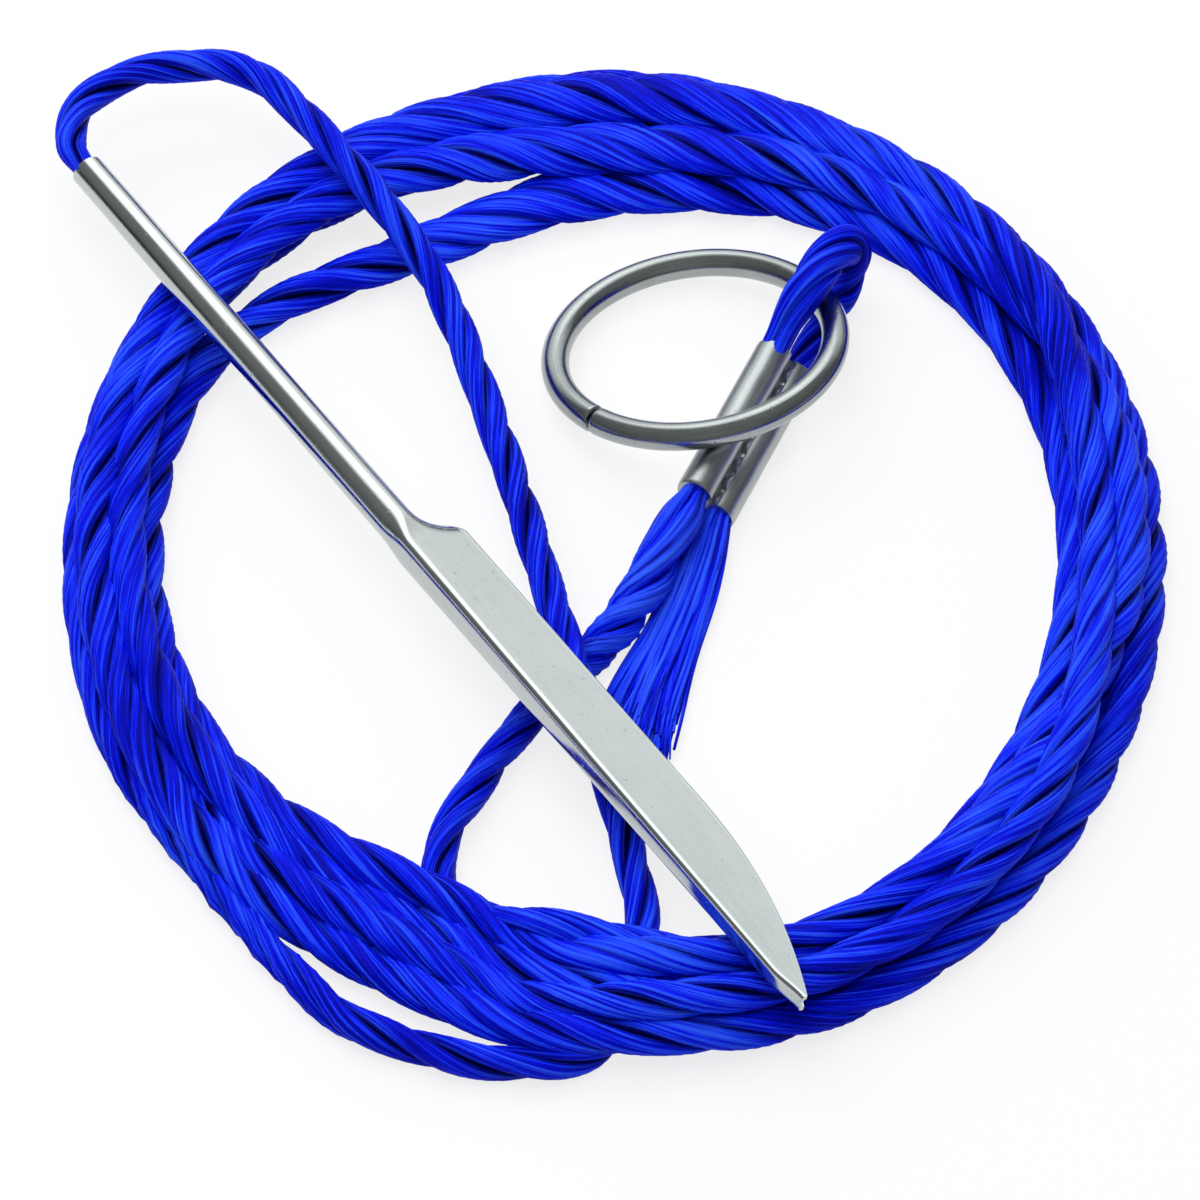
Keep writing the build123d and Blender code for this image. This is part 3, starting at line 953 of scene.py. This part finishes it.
# Outline at z, across the two lobes: two arcs, a flat bottom between them and the groove with its wavy edge
def ferruleOutline(z):
    lobe = ferrule["lobe"]
    share = z / ferruleLength
    wave = np.sin(2 * np.pi * share * ferrule["presses"] + ferrule["pressShift"])
    height = lobe * (1 - ferrule["press"] * wave**2)
    left = np.radians(np.linspace(*ferrule["leftArc"]))
    right = np.radians(np.linspace(*ferrule["rightArc"]))
    first = paired(lobe * np.cos(left), height * np.sin(left))
    second = paired(lobeStep + lobe * np.cos(right), height * np.sin(right))
    between = np.linspace(0, lobeStep, ferrule["bottomPoints"])[1:-1]
    bottom = paired(between, ferrule["bottomRise"] - height)
    tooth = ferrule["toothDepth"] * np.sin(2 * np.pi * share * ferrule["teeth"])
    floor = lobe - ferrule["grooveDepth"]
    across = np.concatenate([lobeStep - ferrule["edgeInset"], lobeStep / 2 + ferrule["grooveAcross"]])
    rise = np.concatenate([lobe * ferrule["edgeHeight"], floor + ferrule["grooveRise"]])
    groove = paired(across + tooth * ferrule["toothShares"], rise)
    return np.concatenate([first, bottom, second, groove], axis=1)


# The outline carried down the ferrule and drawn in a little at both rims
def ferrulePiece():
    outward = np.cross(ferruleWay, lobeWay)
    rim, rimScale = ferrule["rimPlaces"], ferrule["rimScales"]
    body = np.linspace(rim[-1], ferruleLength - rim[-1], ferrule["stations"])
    stations = np.concatenate([rim[:-1], body, ferruleLength - rim[-2::-1]])
    marks = np.concatenate([rim, ferruleLength - rim[::-1]])
    scale = np.interp(stations, marks, np.concatenate([rimScale, rimScale[::-1]]))[:, None, None]
    z = stations[:, None]
    middle = np.array([lobeStep / 2, 0.0])
    outline = middle + (ferruleOutline(z) - middle) * scale
    grid = upperTop + ferruleWay * z[..., None] + outline[..., :1] * lobeWay + outline[..., 1:] * outward
    grid = grid * mm
    grid[..., 2] = np.maximum(grid[..., 2], tableClear)
    faces, uvs = cappedGrid(*grid.shape[:2], stations * mm)
    return meshPiece("ferruleSheet", grid, faces, uvs, ferruleSteel, ferrule["sharp"])


ferruleSheet = ferrulePiece()
print("stage: ferrule made")

# What each piece rides on and stands for
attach(mainPiece, "coil")
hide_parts("cord_coil", "cord_lead", "cord_ring_leg")
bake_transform(loopPiece)
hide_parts("cord_needle_loop", "cord_needle_stub")
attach(eye, "coil")
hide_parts("cord_eye")
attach(frayed, "coil")
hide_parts("cord_tail")
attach(needleBody, "needle")
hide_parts("needle")
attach(ringWire, "ring")
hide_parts("ring")
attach(ferruleSheet, "coil")
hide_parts("ferrule")

# Stage: a white table, a soft light from the far left and a soft light from above
table = {"reach": 3.0, "colour": (0.86, 0.86, 0.86, 1), "white": (1, 1, 1, 1), "glow": 0.80}


# White to the camera and in reflections, and for the rest plain, so that it keeps the shadow
def tableMaterial():
    made, value = newMaterial("tableWhite")
    camera = value.node("LightPath", output="Is Camera Ray")
    glossy = value.node("LightPath", output="Is Glossy Ray")
    through = value.node("LightPath", output="Is Transmission Ray")
    seen = (camera + glossy + through).clipped()
    plain = value.node("BsdfDiffuse", (), {"Color": table["colour"]})
    white = value.node("Emission", (), {"Color": table["white"], "Strength": 1.0})
    paper = value.node("MixShader", (), {0: seen * table["glow"], 1: plain, 2: white})
    value.node("OutputMaterial", (), {"Surface": paper})
    return made


def tablePiece():
    reach = table["reach"]
    corners = [(-reach, -reach, 0), (reach, -reach, 0), (reach, reach, 0), (-reach, reach, 0)]
    mesh = bpy.data.meshes.new("table")
    mesh.from_pydata(corners, [], [(0, 1, 2, 3)])
    mesh.materials.append(tableMaterial())
    piece = bpy.data.objects.new("table", mesh)
    scene.collection.objects.link(piece)
    return piece


tablePiece()

# World: an even grey room with a bright patch high on the far side, a far wall, a dome and a weak front
room = {
    "base": 0.13,
    "patch": 1.55,
    "patchWay": (0.64, 0.77),
    "patchEdge": (0.90, 0.985),
    "wall": 1.0,
    "wallEdge": (0.50, 0.85),
    "wallHeight": (0.08, 0.24),
    "dome": 0.14,
    "domeHeight": (0.25, 0.95),
    "front": 0.10,
    "frontEdge": (0.45, 0.9),
    "frontHeight": (0.08, 0.30),
    "green": 1.03,
    "blue": 1.02,
}


def roomWorld():
    made = bpy.data.worlds.new("studio")
    made.use_nodes = True
    made.node_tree.nodes.clear()
    value = Value(made.node_tree)
    way = value.coordinates("Generated")
    far = value.node("SeparateXYZ", (), {0: way}, "Y")
    high = value.node("SeparateXYZ", (), {0: way}, "Z")
    towards = far * room["patchWay"][0] + high * room["patchWay"][1]
    patch = towards.between(*room["patchEdge"]) * room["patch"]
    wall = far.between(*room["wallEdge"]) * high.between(*room["wallHeight"]) * room["wall"]
    dome = high.between(*room["domeHeight"]) * room["dome"]
    front = (far * -1.0).between(*room["frontEdge"]) * high.between(*room["frontHeight"]) * room["front"]
    glow = patch + wall + front + dome + room["base"]
    tint = value.node("CombineColor", (), {0: glow, 1: glow * room["green"], 2: glow * room["blue"]})
    background = value.node("Background", (), {"Color": tint, "Strength": 1.0})
    value.node("OutputWorld", (), {"Surface": background})
    return made


scene.world = roomWorld()


# A square lamp that faces the object and doesn't show in the steel
def areaLight(name, place, size, power):
    data = bpy.data.lights.new(name, "AREA")
    data.shape = "RECTANGLE"
    data.size = size
    data.size_y = size
    data.energy = power
    lamp = bpy.data.objects.new(name, data)
    scene.collection.objects.link(lamp)
    lamp.location = place
    aim = unit(-np.array(place))
    lamp.rotation_euler = (math.acos(-aim[2]), 0, math.atan2(aim[0], -aim[1]) + math.pi)
    lamp.visible_glossy = False


lamps = {
    "farSoft": {"place": (-0.40, 0.34, 0.70), "size": 0.6, "power": 3.6},
    "topSoft": {"place": (-0.06, -0.16, 0.88), "size": 0.5, "power": 3.3},
}
for lampName, lamp in lamps.items():
    areaLight(lampName, **lamp)

view = {
    "aim": np.array([-1.5, -4.6, 0.0]) * mm,
    "elevation": 50.0,
    "distance": 0.6,
    "lens": 200.0,
    "sensor": 36.0,
    "clip": 0.01,
}


# The camera stands in front of the object, tilted down to its aim
def photoCamera():
    data = bpy.data.cameras.new("photoCamera")
    data.lens = view["lens"]
    data.sensor_width = view["sensor"]
    data.clip_start = view["clip"]
    made = bpy.data.objects.new("photoCamera", data)
    tilt = math.radians(view["elevation"])
    made.location = view["aim"] + view["distance"] * np.array([0, -math.cos(tilt), math.sin(tilt)])
    made.rotation_euler = (math.pi / 2 - tilt, 0, 0)
    scene.collection.objects.link(made)
    return made


scene.camera = photoCamera()
print("stage: light and camera set")
